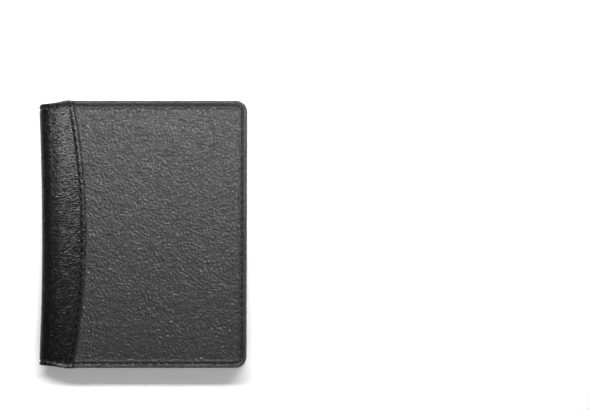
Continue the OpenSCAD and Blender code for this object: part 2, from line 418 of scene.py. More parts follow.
def leatherFinish(name, look):
    # fine grain cells and pores as a bump over the modelled pebbles; creases painted darker as
    # shade and duller, also where the stand attribute is low, worn tops lighter, in broad soft
    # patches
    finish, wire, surface = newFinish(name)
    flat = wire.attribute("flat", 1)
    stand = wire.attribute("stand", 2)
    along = flat.stretched(look["stretch"], look["turn"])
    wander = along.noise(look["cell"] * leather["wander"], 2.0)
    cells = along.cells(look["cell"])
    crease = 1 - cells.ramp(0.0, leather["creaseWidth"])
    fine = along.noise(look["cell"] * leather["fine"], 3.0, 0.6)
    patches = flat.noise(leather["patches"], 3.0)
    height = (1 - crease) * 0.5 + fine * 0.25 + wander * 0.3
    # painted shade in the creases and wherever stand is low, with lighter worn tops and random
    # patches
    wearAndShade = stand * (0.68 + (1 - crease) * 0.5) + patches * 0.2
    wearAndShade = wearAndShade.ramp(leather["wearShadeFrom"], leather["wearShadeTo"])
    colour = wearAndShade.mix(grey(look["dark"], 0.01), grey(look["light"], 0.02))
    roughness = look["roughness"] + (1 - wearAndShade) * look["dull"] + (patches - 0.5) * 0.06
    bump = wire.bump(height, look["bump"], leather["bumpDepth"])
    setSurface(wire, surface, {"Base Color": colour, "Roughness": roughness, "Normal": bump,
                               "Specular IOR Level": look["shine"]})
    return finish


fabric = {"pitch": 0.0005, "slubs": 2500.0, "bump": 0.5, "bumpDepth": 0.00008, "roughness": 0.8}


def fabricFinish():
    # plain weave: two crossing sine waves, each over and under the other
    finish, wire, surface = newFinish("lining fabric")
    flat = wire.attribute("flat", 1)
    split = wire.node("ShaderNodeSeparateXYZ", None, {"Vector": flat})
    across = Wire(split.tree, split.socket.node.outputs["Y"])
    threads = 2 * math.pi / fabric["pitch"]
    warp = wire.maths("SINE", split * threads)
    weft = wire.maths("SINE", across * threads)
    weave = warp * weft * 0.5 + 0.5
    slub = flat.stretched(20.0, 90).noise(fabric["slubs"], 1.0)
    colour = (weave * 0.7 + slub * 0.3).mix(grey(0.010), grey(0.028))
    bump = wire.bump(weave + slub * 0.4, fabric["bump"], fabric["bumpDepth"])
    setSurface(wire, surface, {"Base Color": colour, "Roughness": fabric["roughness"],
                               "Normal": bump, "Sheen Weight": 0.3, "Sheen Roughness": 0.5})
    return finish


board = {"fibres": 1800.0, "specks": 900.0, "bump": 0.4, "bumpDepth": 0.0001, "roughness": 0.9}


def boardFinish():
    # pressed grey board: short fibres and specks
    finish, wire, surface = newFinish("stiffener board")
    flat = wire.attribute("flat", 1)
    fibres = flat.stretched(5.0, 20).noise(board["fibres"], 4.0, 0.7)
    specks = flat.cells(board["specks"], "F1").ramp(0.1, 0.25)
    colour = (fibres * 0.8 + specks * 0.2).mix(grey(0.12, 0.05), grey(0.28, 0.08))
    bump = wire.bump(fibres, board["bump"], board["bumpDepth"])
    setSurface(wire, surface, {"Base Color": colour, "Roughness": board["roughness"],
                               "Normal": bump})
    return finish


thread = {
    "twist": 0.0007,               # length of one turn of the plies
    "turns": 2,                    # plies, so the pattern comes twice round the thread
    "fuzz": 9000.0,
    "bump": 0.6,
    "bumpDepth": 0.00006,
    "roughness": 0.5,
    "shine": 0.25,
}


def threadFinish():
    # two plies twisted together: flat x runs along the stitch, and flat y is the angle round
    # it in thousandths, so that it comes back to radians here
    finish, wire, surface = newFinish("waxed thread")
    flat = wire.attribute("flat", 1)
    split = wire.node("ShaderNodeSeparateXYZ", None, {"Vector": flat})
    around = Wire(split.tree, split.socket.node.outputs["Y"])
    twist = split * (2 * math.pi / thread["twist"]) + around * (thread["turns"] / mm)
    twist = wire.maths("SINE", twist)
    fuzz = flat.noise(thread["fuzz"], 2.0)
    colour = (twist * 0.35 + 0.5 + fuzz * 0.15).mix(grey(0.003), grey(0.015))
    bump = wire.bump(twist + fuzz * 0.3, thread["bump"], thread["bumpDepth"])
    setSurface(wire, surface, {"Base Color": colour, "Roughness": thread["roughness"],
                               "Normal": bump, "Specular IOR Level": thread["shine"]})
    return finish


finishes = {
    "grained_leather": leatherFinish("pebbled leather", {
        "cell": 1700.0, "stretch": 1.6, "turn": 28, "dark": 0.0005, "light": 0.014,
        "roughness": 0.28, "dull": 0.35, "bump": 0.45, "shine": 0.5}),
    "spine_leather": leatherFinish("spine leather", {
        "cell": 1300.0, "stretch": 2.6, "turn": 2, "dark": 0.001, "light": 0.003,
        "roughness": 0.21, "dull": 0.16, "bump": 0.38, "shine": 0.34}),
    "pocket_leather": leatherFinish("pocket leather", {
        "cell": 1300.0, "stretch": 1.5, "turn": 40, "dark": 0.001, "light": 0.016,
        "roughness": 0.33, "dull": 0.35, "bump": 0.6, "shine": 0.5}),
    "smooth_leather": leatherFinish("smooth leather", {
        "cell": 1800.0, "stretch": 7.0, "turn": 90, "dark": 0.002, "light": 0.008,
        "roughness": 0.45, "dull": 0.2, "bump": 0.35, "shine": 0.25}),
    "lining_leather": leatherFinish("soft lining leather", {
        "cell": 1500.0, "stretch": 2.2, "turn": 90, "dark": 0.002, "light": 0.024,
        "roughness": 0.3, "dull": 0.35, "bump": 0.7, "shine": 0.5}),
    "lining_fabric": fabricFinish(),
    "stiffener_board": boardFinish(),
    "thread": threadFinish(),
}
print("finishes made:", len(finishes))


edge = {
    "bead": 0.5,                   # from the edge to the top of the rounded bead
    "crest": 0.03,                 # depth of the bead's top
    "rise": 0.7,                   # from the side wall to the bead's top
    "grooveFrom": 0.7,             # where the slope into the groove starts
    "grooveAt": 2.05,              # bottom of the groove, at the face's shoulder
    "groove": 0.5,                 # its depth
    "shoulder": 0.32,              # from the groove up on to the face
    "hole": 0.27,                  # extra depth where the thread goes in
    "scallop": 0.22,               # how far the shoulder wanders between the holes
    "scallopFrom": 1.7,            # they start here, grow over the rise and fade to the hem
    "scallopRise": 0.3,
    "scallopFall": 1.2,
    "skew": 0.12,                  # the scallops lean along the row, by the inset
    # insets of the profile's points on the outer face, close together in the groove
    "points": np.array([4.0, 3.65, 3.3, 3.0, 2.8, 2.65, 2.52, 2.4, 2.28, 2.17, 2.06, 1.95,
                        1.82, 1.65, 1.45, 1.25, 1.05, 0.85, 0.66, 0.45, 0.27, 0.13, 0.05,
                        0.01]),
}
hem = {
    "turnIn": 0.6,                 # rounding from the wall to the hem, inwards
    "turnUp": 0.5,                 # and along the wall
    "hollow": 0.1,                 # how far the side wall bows out
    "sink": 0.26,                  # groove of the stitches
    "sinkWidth": 0.3,
    "hole": 0.25,
    "holeWidth": 0.35,
    "pleat": 0.2,                  # depth of the pleats in the inner corners
    "step": 0.6,                   # width of the step at a pocket mouth
    "stepBefore": 0.3,
    "points": np.array([0.75, 1.0, 1.25, 1.5, 1.7, 1.85, 2.0, 2.15, 2.3, 2.5, 2.8, 3.2, 3.6]),
}
outerCount = len(edge["points"])


def holesAt(phase):
    # 1 at each hole, where the phase is whole, and 0 between them
    return np.exp(-(((phase - np.round(phase)) * holder["pitch"]) / holder["holeWidth"]) ** 2)


def edgeDepth(inset, phase, face):
    # quarter ellipse up to the bead, a long slope down into the groove, a steep smooth
    # shoulder up on to the face, which lies at the depth given
    beyond = np.clip((inset - edge["scallopFrom"]) / edge["scallopRise"], 0, 1)
    beyond = beyond * np.clip((hemW - inset) / edge["scallopFall"], 0, 1)
    scallop = 2 * holesAt(phase - edge["skew"] * (inset - 1.8)) - 1
    inset = inset - edge["scallop"] * scallop * beyond
    away = np.clip((edge["bead"] - inset) / edge["bead"], 0, 1)
    bead = edge["crest"] + edge["rise"] * (1 - np.sqrt(1 - away**2))
    groove = edge["groove"] + edge["hole"] * holesAt(phase)
    down = np.clip((inset - edge["grooveFrom"]) / (edge["grooveAt"] - edge["grooveFrom"]), 0, 1)
    down = 0.6 * down + 0.4 * smooth(down)
    up = smooth((inset - edge["grooveAt"]) / edge["shoulder"])
    return np.where(inset < edge["grooveAt"], bead + (groove - bead) * down,
                    groove + (face - groove) * up)


def grooveShadeAndBeadHighlight(inset):
    # painted shade along the stitched groove and a painted highlight on the bead: 0.1 along the
    # groove, 1.2 on the bead
    return 1.2 - 0.2 * smooth((inset - 0.9) / 0.5) - 0.9 * np.exp(-(((inset - 1.95) / 0.33) ** 2))


def hemDepth(half, x):
    # face of the hem: one soft step up at each pocket mouth
    depth = liningHigh + hemT + 0 * x
    for mouth in mouths[half]:
        depth = depth + levelT * smooth((x - mouth + hemT + hem["stepBefore"]) / hem["step"])
    return depth


def underHem(half, x):
    # what the hem lies on: the lining and the pockets
    depth = liningHigh + 0 * x
    for mouth in mouths[half]:
        depth = depth + levelT * smooth((x - mouth) / 0.35 + 1)
    return depth


def turnedProfile(half, x, phase, face, pleat):
    # one column per place along the edge: over the face to the edge, down the wall, over
    # the hem, round its cut edge and back under it to the inside of the leather.
    # x is that of the hem; gives the inset and the depth of each profile point
    phase, pleat = phase[:, None], pleat[:, None]
    top, under = hemDepth(half, x)[:, None], underHem(half, x)[:, None]
    outer = edgeDepth(edge["points"][None, :], phase, face)

    # the side wall is a half sine that bows out, then a quarter ellipse on to the hem
    wallStart, wallEnd = edge["crest"] + edge["rise"], top - hem["turnUp"]
    part = np.linspace(0.12, 1, 6)[None, :]
    wallDepth = wallStart + (wallEnd - wallStart) * part
    wallInset = -hem["hollow"] * np.sin(math.pi * part) + 0 * wallDepth
    turn = np.radians(np.array([25.0, 50.0, 72.0]))[None, :]
    roundInset = hem["turnIn"] * (1 - np.cos(turn))
    roundDepth = top - hem["turnUp"] + hem["turnUp"] * np.sin(turn)

    # the hem, with its row of stitches and its pleats, and its cut edge
    inset = hem["points"][None, :]
    fromRow = inset - holder["stitchIn"]
    sink = hem["sink"] * np.exp(-(fromRow / hem["sinkWidth"]) ** 2)
    sink = sink + hem["hole"] * holesAt(phase) * np.exp(-(fromRow / hem["holeWidth"]) ** 2)
    fold = pleat * np.clip(inset / 0.8, 0, 1) * np.clip(hemW - inset, 0, 1)
    hemFace = top - sink - fold
    cutInset = np.array([hemW - 0.15, hemW - 0.04, hemW, hemW, wall, wall, hemW])[None, :]
    inner = wall + 0 * top
    cutDepth = np.concatenate([top - 0.03, top - 0.1, top - 0.22, under + 0.02, under + 0.02,
                               inner, inner], 1)
    insets = np.concatenate([edge["points"][None, :] + 0 * outer, wallInset,
                             roundInset + 0 * roundDepth, inset + 0 * hemFace,
                             cutInset + 0 * cutDepth], 1)
    return insets, np.concatenate([outer, wallDepth, roundDepth, hemFace, cutDepth], 1)


def profileReach(insets, depths):
    # signed distance along each profile from the outer edge: minus on the outer face
    steps = np.hypot(np.diff(insets, axis=1), np.diff(depths, axis=1))
    reach = np.concatenate([np.zeros((len(insets), 1)), np.cumsum(steps, 1)], 1)
    return reach - reach[:, [outerCount - 1]]


seam = {
    "middle": nodeBox("spine_wrap_back")[1][0],    # x at the middle of the height
    "bulge": 5.0,                                  # from there back to the ends
    "stitchIn": 1.7,                               # stitching, from the curved edge
}
seamR = (halfH**2 + seam["bulge"] ** 2) / (2 * seam["bulge"])


def seamX(y):
    # arc of a circle through the middle and the ends
    return seam["middle"] - seamR + np.sqrt(seamR**2 - np.clip(y, -halfH, halfH) ** 2)


cover = {
    "sink": 0.2,                   # the face lies lower along its borders
    "dome": 13.0,                  # how far in it reaches its full height
    "least": 0.08,                 # leather left under the deepest creases of the face
    "quietBorder": 0.35,           # share of the grain's depth that the border keeps
    "lapEnds": 42.0,               # from here on out, less cover is drawn under the wrap
    "grain": {"size": 0.7, "stretch": 2.0, "angle": 30, "crease": 0.5,
              "depth": 0.58, "swell": 0.07},
    # long creases: x, y, angle, length and depth
    "creases": [(27.0, 33.5, 24, 22.0, 0.07), (24.0, 29.5, 27, 18.0, 0.06),
                (29.5, 26.0, 30, 12.0, 0.05), (14.0, 37.0, 28, 10.0, 0.04),
                (26.0, -19.0, 18, 12.0, 0.05), (4.0, -30.0, 24, 9.0, 0.04),
                (-11.6, 41.0, -86, 15.0, 0.06), (-5.2, 45.3, -53, 8.0, 0.06),
                (-5.4, 40.5, -68, 7.0, 0.05), (-2.6, 39.3, 12, 7.0, 0.05),
                (31.0, -34.0, 15, 8.0, 0.04)],
    "edgeSteps": np.array([-1.0, -0.55, -0.2, 0.0, 0.1, 0.2, 0.32, 0.48, 0.7, 1.0]),
}


def creased(x, y, lines):
    # each crease is a line that wanders a little, as deep as given along its middle
    depth = 0 * x
    for x0, y0, angle, length, deep in lines:
        c, s = math.cos(math.radians(angle)), math.sin(math.radians(angle))
        along, off = (x - x0) * c + (y - y0) * s, (y - y0) * c - (x - x0) * s
        off = off + 0.5 * softNoise(along, along * 0 + x0, 3.0)
        fade = smooth(1.6 - 3.2 * np.abs(along) / length)
        rim = 0.5 * np.exp(-(((off + 0.62) / 0.4) ** 2))
        depth = depth + 2.2 * deep * fade * (np.exp(-((off / 0.33) ** 2)) - rim)
    return depth


def coverFace(half, x, y, inset):
    # a low dome, under the wrap's edge, with grain and long creases
    fromSeam = x - seamX(y)
    inward = np.minimum(inset - 2.2, fromSeam + 1.0)
    low = cover["sink"] * (1 - smooth(inward / cover["dome"]))
    flatX, flatY = flatOf(half, x, y)
    depth, stand = grained(flatX, flatY, cover["grain"])
    depth = depth + creased(x, y, cover["creases"] if half == "front" else cover["creases"][3:])
    quiet = cover["quietBorder"]
    strength = quiet + (1 - quiet) * smooth((inset - 2.4) / 0.8)
    total = low + depth * strength + underWrap(fromSeam)
    return np.minimum(total, wall - cover["least"]), stand


def underWrap(fromSeam):
    # goes down beside the wrap's edge and on under it
    return 0.34 * (1 - smooth(fromSeam / 0.5)) + 0.06 * smooth(-fromSeam / 0.3)


def coverColumns(y, count):
    # x of the columns: close together at the curved edge, then even up to the corner's start
    lap = 1 - 0.98 * smooth((np.abs(y) - cover["lapEnds"]) / 3)
    near = cover["edgeSteps"][None, :] * np.where(cover["edgeSteps"] < 0, lap[:, None], 1)
    start = seamX(y)[:, None] + near
    last = start[:, -1:]
    even = last + (outX - cornerR - last) * np.linspace(0, 1, count + 1)[None, 1:]
    return np.concatenate([start, even], 1)


coverAcross = round((outX - cornerR - seam["middle"]) / holder["step"])
coverUp = round(2 * (halfH - cornerR) / holder["step"])
sideY = np.linspace(halfH - cornerR, cornerR - halfH, coverUp + 1)
cornerTurn = np.linspace(90, 0, 19)[1:-1]


def coverBorder(inset):
    # x and y of the whole border at one inset: along the top, round the corner, down the
    # opening side, round the other corner and back, the same number of places each time
    c, s = np.cos(np.radians(cornerTurn)), np.sin(np.radians(cornerTurn))
    r, level = cornerR - inset, halfH - inset
    top = coverColumns(np.array([level]), coverAcross)[0]
    arcX, arcY = outX - cornerR + r * c, halfH - cornerR + r * s
    xs = [top, arcX, np.full(coverUp + 1, outX - inset), arcX[::-1], top[::-1]]
    ys = [np.full(len(top), level), arcY, sideY, -arcY[::-1], np.full(len(top), -level)]
    return np.concatenate(xs), np.concatenate(ys)


def coverStitches():
    # the row of stitches along the border: its places, its length so far and their number
    x, y = coverBorder(holder["stitchIn"])
    run = np.concatenate([[0], np.cumsum(np.hypot(np.diff(x), np.diff(y)))])
    return x, y, run, round(run[-1] / holder["pitch"])


def coverTurned(patches, half):
    # the border from the face round to the inside of the hem. outAngle is the direction
    # out of the holder at each place
    columnCount = coverAcross + len(cover["edgeSteps"])
    level = np.full(columnCount, 90.0)
    outAngle = np.concatenate([level, cornerTurn, np.zeros(coverUp + 1), -cornerTurn[::-1],
                               -level])
    inCorner = (np.abs(outAngle) < 90) & (np.abs(outAngle) > 0)
    pleats = 0.5 - 0.5 * np.cos(np.radians(np.abs(outAngle) * 12))    # three in each corner
    pleat = np.where(inCorner, hem["pleat"] * pleats, 0.0)
    x, y, run, count = coverStitches()
    phase = run / run[-1] * count
    borders = [coverBorder(float(inset)) for inset in edge["points"]]
    faceX = np.stack([place[0] for place in borders], 1)
    faceY = np.stack([place[1] for place in borders], 1)
    faceDepth, faceStand = coverFace(half, faceX, faceY, edge["points"][None, :] + 0 * faceX)
    insets, depths = turnedProfile(half, coverBorder(1.0)[0], phase, faceDepth, pleat)

    # the bead and the groove get their share of the wrap's underlap and of the grain
    onEdge = 1 - smooth((edge["points"] - edge["grooveAt"]) / edge["shoulder"])
    depths[:, :outerCount] += underWrap(faceX - seamX(faceY)) * onEdge[None, :]
    beadGrain = grained(*flatOf(half, faceX, faceY), cover["grain"])[0]
    onBead = smooth((2.3 - edge["points"]) / 0.6)[None, :]
    depths[:, :outerCount] += 0.3 * beadGrain * onBead
    flatPart = np.s_[:, :np.count_nonzero(edge["points"] > 1)]
    depths[flatPart] = np.minimum(depths[flatPart], wall - cover["least"] / 2)

    # x and y of every profile point, by moving in from the edge; along the two ends of the
    # holder x keeps to the face's columns
    edgeX, edgeY = coverBorder(0.0)
    c, s = np.cos(np.radians(outAngle))[:, None], np.sin(np.radians(outAngle))[:, None]
    x, y = edgeX[:, None] - insets * c, edgeY[:, None] - insets * s
    straight = np.abs(outAngle) == 90
    columns = coverColumns(halfH - np.clip(insets[straight].ravel(), 0, 9), coverAcross)
    pick = np.concatenate([np.arange(columnCount), np.arange(columnCount)[::-1]])
    pick = np.repeat(pick, insets.shape[1])
    x[straight] = columns[np.arange(len(pick)), pick].reshape(-1, insets.shape[1])
    reach = profileReach(insets, depths)
    flatX, flatY = flatOf(half, edgeX[:, None] + reach * c, edgeY[:, None] + reach * s)
    flatX[straight] = flatOf(half, x[straight], 0)[0]
    stand = np.ones(x.shape) * 0.75
    # painted shade along the stitched groove and a painted highlight on the bead
    stand[:, :outerCount] = faceStand * grooveShadeAndBeadHighlight(edge["points"])[None, :]
    hemGrain = grained(flatX, flatY, cover["grain"])[0][:, outerCount:]
    # painted shade: the hem is darker where its grain lies deep
    stand[:, outerCount:] -= 0.25 * (hemGrain > 0.09)
    return patches.grid(*placed(half, x, y, depths), flatX, flatY, stand)


def buildCover(half):
    # the face inside the corner arcs, the border, the leather's inside, the end under the
    # wrap, and the two ends of the border
    patches = Patches()
    x = coverColumns(sideY, coverAcross)
    y = sideY[:, None] + 0 * x
    depth, stand = coverFace(half, x, y, np.minimum(halfH - np.abs(y), outX - x))
    face = patches.grid(*placed(half, x, y, depth), *flatOf(half, x, y), stand)
    turned = coverTurned(patches, half)
    left, leftY = coverColumns(sideY, coverAcross)[None, :, 0], sideY[None, :]
    lapEdge = placed(half, left, leftY, wall + 0 * left)
    under = patches.grid(*lapEdge, *flatOf(half, left, leftY))[0]
    patches.join(np.stack([face[:, 0], under], 1))
    patches.ring(np.concatenate([turned[:, -1], under[::-1]]))
    patches.ring(turned[0])
    patches.ring(turned[-1])
    piece = patches.build(f"{half}_cover_leather", finishes["grained_leather"])
    attach(piece, half, [f"{half}_cover"])


for half in halves:
    buildCover(half)
print("covers built")


wrap = {
    "grain": {"size": 0.85, "stretch": 2.4, "angle": 4, "crease": 0.4,
              "depth": 0.13, "swell": 0.1},
    "lip": 0.5,                    # rounding of the curved edge
    "lipDrop": 0.48,               # depth at the very edge
    "groove": 0.4,                 # depth of the stitched groove
    "hole": 0.22,
    "thin": 0.5,                   # leather over the cover's underlap
    "hollow": 0.1,                 # the flank lies lower beside the groove
    "quietEdge": 0.4,              # share of the grain's depth left beside the curved edge
    "edgeSteps": np.array([0.0, 0.03, 0.09, 0.18, 0.3, 0.5, 0.8, 1.05, 1.25, 1.42, 1.56,
                           1.7, 1.84, 1.98, 2.15, 2.4, 2.7, 3.0]),
}


def wrapColumns(y, flatCount, bendCount):
    # unrolled x from the curved edge to the middle of the spine
    near = seamX(y)[:, None] - wrap["edgeSteps"][None, :]
    last = near[:, -1:]
    even = last + (bendX - last) * np.linspace(0, 1, flatCount + 1)[None, 1:]
    bend = bendX - bendLength * np.linspace(0, 1, bendCount + 1)[None, 1:] + 0 * last
    return np.concatenate([near, even, bend], 1)


seamSpan = halfH - holder["stitchIn"] - 0.6          # the curved row's ends, along y
seamCount = round(2 * seamSpan / holder["pitch"])


def seamPhase(y):
    # whole numbers at the holes of the curved row
    return (y + seamSpan) / (2 * seamSpan) * seamCount


def wrapFace(half, u, y, inset):
    # rounded lip at the curved edge, a stitched groove, then a smooth flank
    fromSeam = seamX(y) - u
    away = np.clip((wrap["lip"] - fromSeam) / wrap["lip"], 0, 1)
    lip = wrap["lipDrop"] * (1 - np.sqrt(1 - away**2))
    hole = holesAt(seamPhase(y)) * smooth((inset - 2.2) / 0.4)
    shift = fromSeam + 0.1 * np.cos(2 * math.pi * seamPhase(y))
    fromRow = shift - seam["stitchIn"]
    groove = (wrap["groove"] + wrap["hole"] * hole) * np.exp(-(fromRow / 0.34) ** 2)
    groove = groove * smooth((inset - 1.4) / 0.8)
    flank = wrap["hollow"] * smooth(fromSeam - 1.6) * (1 - smooth((fromSeam - 3) / 6))
    depth, stand = grained(*flatOf(half, u, y), wrap["grain"])
    quiet = wrap["quietEdge"] + (1 - wrap["quietEdge"]) * smooth((fromSeam - 2.0) / 0.8)
    # painted shade along the stitched groove of the curved row
    stand = stand * (1 - 0.9 * np.exp(-(fromRow / 0.3) ** 2))
    return lip + groove + flank + depth * quiet, stand


def wrapEnd(patches, half, end, flatCount, bendCount):
    # the border at one end of the spine, from the face round to the inside of the hem
    edgeU = wrapColumns(np.array([halfH - holder["stitchIn"]]), flatCount, bendCount)[0]
    run = seamX(halfH) - edgeU
    phase = run / run[-1] * round(run[-1] / holder["pitch"])
    faceU = wrapColumns(halfH - edge["points"], flatCount, bendCount).T
    faceY = end * (halfH - edge["points"])[None, :] + 0 * faceU
    faceDepth, faceStand = wrapFace(half, faceU, faceY, edge["points"][None, :] + 0 * faceU)
    insets, depths = turnedProfile(half, edgeU, phase, faceDepth, 0 * phase)
    onBead = smooth((2.3 - edge["points"]) / 0.6)[None, :]
    lip = np.clip((wrap["lip"] - (seamX(faceY) - faceU)) / wrap["lip"], 0, 1)
    depths[:, :outerCount] += 0.3 * (1 - np.sqrt(1 - lip**2)) * onBead
    grainDepth = grained(*flatOf(half, faceU, faceY), wrap["grain"])[0]
    depths[:, :outerCount] += 0.4 * grainDepth * onBead
    u = wrapColumns(halfH - np.clip(insets.ravel(), 0, 9), flatCount, bendCount)
    pick = np.repeat(np.arange(len(edgeU)), insets.shape[1])
    u = u[np.arange(len(pick)), pick].reshape(insets.shape)
    stand = np.full(u.shape, 0.7)
    # painted shade along the stitched groove and a painted highlight on the bead
    stand[:, :outerCount] = faceStand * grooveShadeAndBeadHighlight(edge["points"])[None, :]
    x, depth = bent(u, depths)
    flat = flatOf(half, u, end * (halfH + profileReach(insets, depths)))
    return patches.grid(*placed(half, x, end * (halfH - insets), depth), *flat, stand)


def buildWrap(half):
    # the outer face and the inside, clear of the borders, and then the two borders
    flatCount = round((seam["middle"] - 3 - bendX) / holder["step"])
    bendCount = round(bendLength / holder["step"])
    patches = Patches()
    u = wrapColumns(sideY, flatCount, bendCount)
    y = sideY[:, None] + 0 * u
    depth, stand = wrapFace(half, u, y, halfH - np.abs(y))
    x, outerDepth = bent(u, depth)
    outer = patches.grid(*placed(half, x, y, outerDepth), *flatOf(half, u, y), stand)
    lower = wrap["thin"] + (wall - wrap["thin"]) * smooth((seamX(y) - u - 1.05) / 0.35)
    clear = smooth((halfH - hemW - np.abs(y)) / 0.3)
    x, innerDepth = bent(u, lower * clear + wall * (1 - clear))
    inner = patches.grid(*placed(half, x, y, innerDepth), *flatOf(half, u, y))
    patches.join(np.stack([outer[:, 0], inner[:, 0]], 1))
    patches.join(np.stack([outer[:, -1], inner[:, -1]], 1))
    for end in (1, -1):
        turned = wrapEnd(patches, half, end, flatCount, bendCount)
        patches.ring(turned[0])
        patches.ring(turned[-1])
    piece = patches.build(f"{half}_spine_wrap", finishes["spine_leather"])
    attach(piece, half, [f"spine_wrap_{half}", "spine_wrap_middle"], 0.0)


for half in halves:
    buildWrap(half)
print("spine wrap built")


inside = {
    "grainStep": 0.4,              # grid steps: pockets, fabric and boards
    "fabricStep": 1.0,
    "boardStep": 2.0,
    "bagT": 0.2,                   # fabric of the pocket bags, and of the lining
    "liningT": 0.25,
    "creaseIn": 1.1,               # crease line of a pocket mouth, from the fold
    "crease": 0.17,
    "pressed": 0.15,               # depth of the mark that a mouth leaves below itself
}


def buildSheet(name, half, sheet, step):
    # a flat piece between the walls: its face is a grid with a rounded mouth edge, its far
    # corners are rounded, and its underside is one flat polygon
    low, high, start, stop = (sheet[k] for k in ("low", "high", "from", "to"))
    top = innerY
    radius = cornerR - (halfH - top)
    t = high - low
    turn = np.radians(np.linspace(-90, 90, 7))
    lipX, lipH = t / 2 * (1 - np.cos(turn)), t / 2 * (1 + np.sin(turn))
    y = np.linspace(top, -top, round(2 * top / step) + 1)
    over = np.clip(np.abs(y) - (top - radius), 0, radius) * (stop > outX - cornerR)
    right = stop - (radius - np.sqrt(radius**2 - over**2))
    across = round((stop - start) / step)
    even = np.linspace(0, 1, across + 1)[None, 1:]
    firstX = start + lipX[-1]
    x = np.concatenate([start + lipX[None, :] + 0 * y[:, None],
                        firstX + (right[:, None] - firstX) * even], 1)
    rowY = y[:, None] + 0 * x
    h = np.concatenate([low + lipH, np.full(across, high)])[None, :] + 0 * x
    flatX, flatY = flatOf(half, x, rowY)
    stand = np.full(x.shape, 0.8)
    if "relief" in sheet:
        depth, stand = sheet["relief"](x, flatX, flatY)
        h = h - depth * smooth((h - low) / t)
    patches = Patches()
    face = patches.grid(*placed(half, x, rowY, h), flatX, flatY, stand)
    bottomX, bottom = np.maximum(x, firstX), np.full(x.shape, low)
    rim = {"top": np.s_[:1], "right": np.s_[:, -1:], "bottom": np.s_[-1:]}
    ring = [face[::-1, 0]]
    for key, turnBack in (("top", False), ("right", False), ("bottom", True)):
        cut = rim[key]
        number = patches.grid(*placed(half, bottomX[cut], rowY[cut], bottom[cut]),
                              flatX[cut], flatY[cut])
        patches.join(np.stack([face[cut].ravel(), number.ravel()], 1))
        ring.append(number.ravel()[::-1] if turnBack else number.ravel())
    patches.ring(np.concatenate(ring))
    piece = patches.build(name, finishes[sheet["slot"]])
    return attach(piece, half, [sheet["node"]])


def pocketRelief(start, over, grain, streaks=0.0):
    # the leather is folded over at the mouth and creased with a line behind the fold, painted
    # darker as shade. over is the mouth of the pocket that lies on this one: pressed in, duller
    # and with a painted shadow beside it
    def relief(x, flatX, flatY):
        depth, stand = grained(flatX, flatY, grain)
        line = np.exp(-(((x - start - inside["creaseIn"]) / 0.26) ** 2))
        # painted shade along the crease line
        depth, stand = depth + inside["crease"] * line, stand * (1 - 0.95 * line)
        if over is not None:
            # painted shadow where the upper pocket's mouth lies on this one
            pressAndShadow = np.exp(-(((x - over + 0.25) / 0.45) ** 2))
            depth, stand = depth + inside["pressed"] * pressAndShadow, stand * (1 - 0.95 * pressAndShadow)
        if streaks:
            depth = depth + streaks * (0.5 + 0.5 * softNoise(flatX, flatY * 0.04, 0.8))
        return depth, stand

    return relief


coarse = {"size": 1.3, "stretch": 1.9, "angle": 12, "crease": 0.4, "depth": 0.2, "swell": 0.05}
fine = {"size": 0.95, "stretch": 1.3, "angle": 50, "crease": 0.4, "depth": 0.13, "swell": 0.05}
plain = {"size": 1.1, "stretch": 2.5, "angle": 90, "crease": 0.6, "depth": 0.015, "swell": 0.05}
pocketGrains = {
    "front": {3: (fine, 0.0), 2: (fine, 0.0), 1: (coarse, 0.0)},
    "back": {3: (fine, 0.0), 2: (plain, 0.05), 1: (fine, 0.0)},
}


def sheetOf(node, slot, low, high, relief=None):
    # a sheet as long as its node, between two depths
    nodeLow, nodeHigh = nodeBox(node)
    sheet = {"node": node, "slot": slot, "low": low, "high": high,
             "from": nodeLow[0], "to": nodeHigh[0]}
    if relief is not None:
        sheet["relief"] = relief
    return sheet


def flatSize(sheet):
    return ((sheet["to"] - sheet["from"]) * mm, 2 * innerY * mm)


def buildPocket(half, k):
    # a leather pocket, and for the two stepped strips the fabric bag sewn to it
    level = 3 - k
    grain, streaks = pocketGrains[half][k]
    start = mouths[half][level]
    over = mouths[half][level + 1] if k > 1 else None
    slot = "smooth_leather" if (half, k) == ("back", 2) else "pocket_leather"
    sheet = sheetOf(f"{half}_pocket_{k}", slot, pocketLow[level], pocketHigh[level],
                    pocketRelief(start, over, grain, streaks))
    buildSheet(f"{half}_pocket_leather_{k}", half, sheet, inside["grainStep"])
    if k > 1:
        top = pocketHigh[level]
        bag = sheetOf(f"{half}_pocket_{k}_bag", "lining_fabric", top - inside["bagT"], top)
        piece = buildSheet(f"{half}_pocket_fabric_{k}", half, bag, inside["fabricStep"])
        flatSize(bag)


def buildBacking(half):
    # the fabric lining and the stiffener board it lies on
    liningTop = liningLow + inside["liningT"]
    cloth = sheetOf(f"{half}_lining", "lining_fabric", liningLow, liningTop)
    piece = buildSheet(f"{half}_lining_fabric", half, cloth, inside["fabricStep"])
    flatSize(cloth)
    stiffener = sheetOf(f"{half}_board", "stiffener_board", boardLow, boardHigh)
    buildSheet(f"{half}_stiffener", half, stiffener, inside["boardStep"])


for half in halves:
    for k in (3, 2, 1):
        buildPocket(half, k)
    buildBacking(half)
print("pockets, fabric and boards built")


lining = {
    "to": {half: nodeBox(f"spine_lining_{half}")[1][0] for half in halves},
    "step": 0.26,
    "stepY": 0.4,
    "bendShare": 0.6,              # fewer steps round the bend, where the lining is shorter
    "wrinkle": 0.2,                # depth of the lengthwise wrinkles
    "grain": {"size": 0.9, "stretch": 2.2, "angle": 90, "crease": 0.5,
              "depth": 0.06, "swell": 0.04},
}


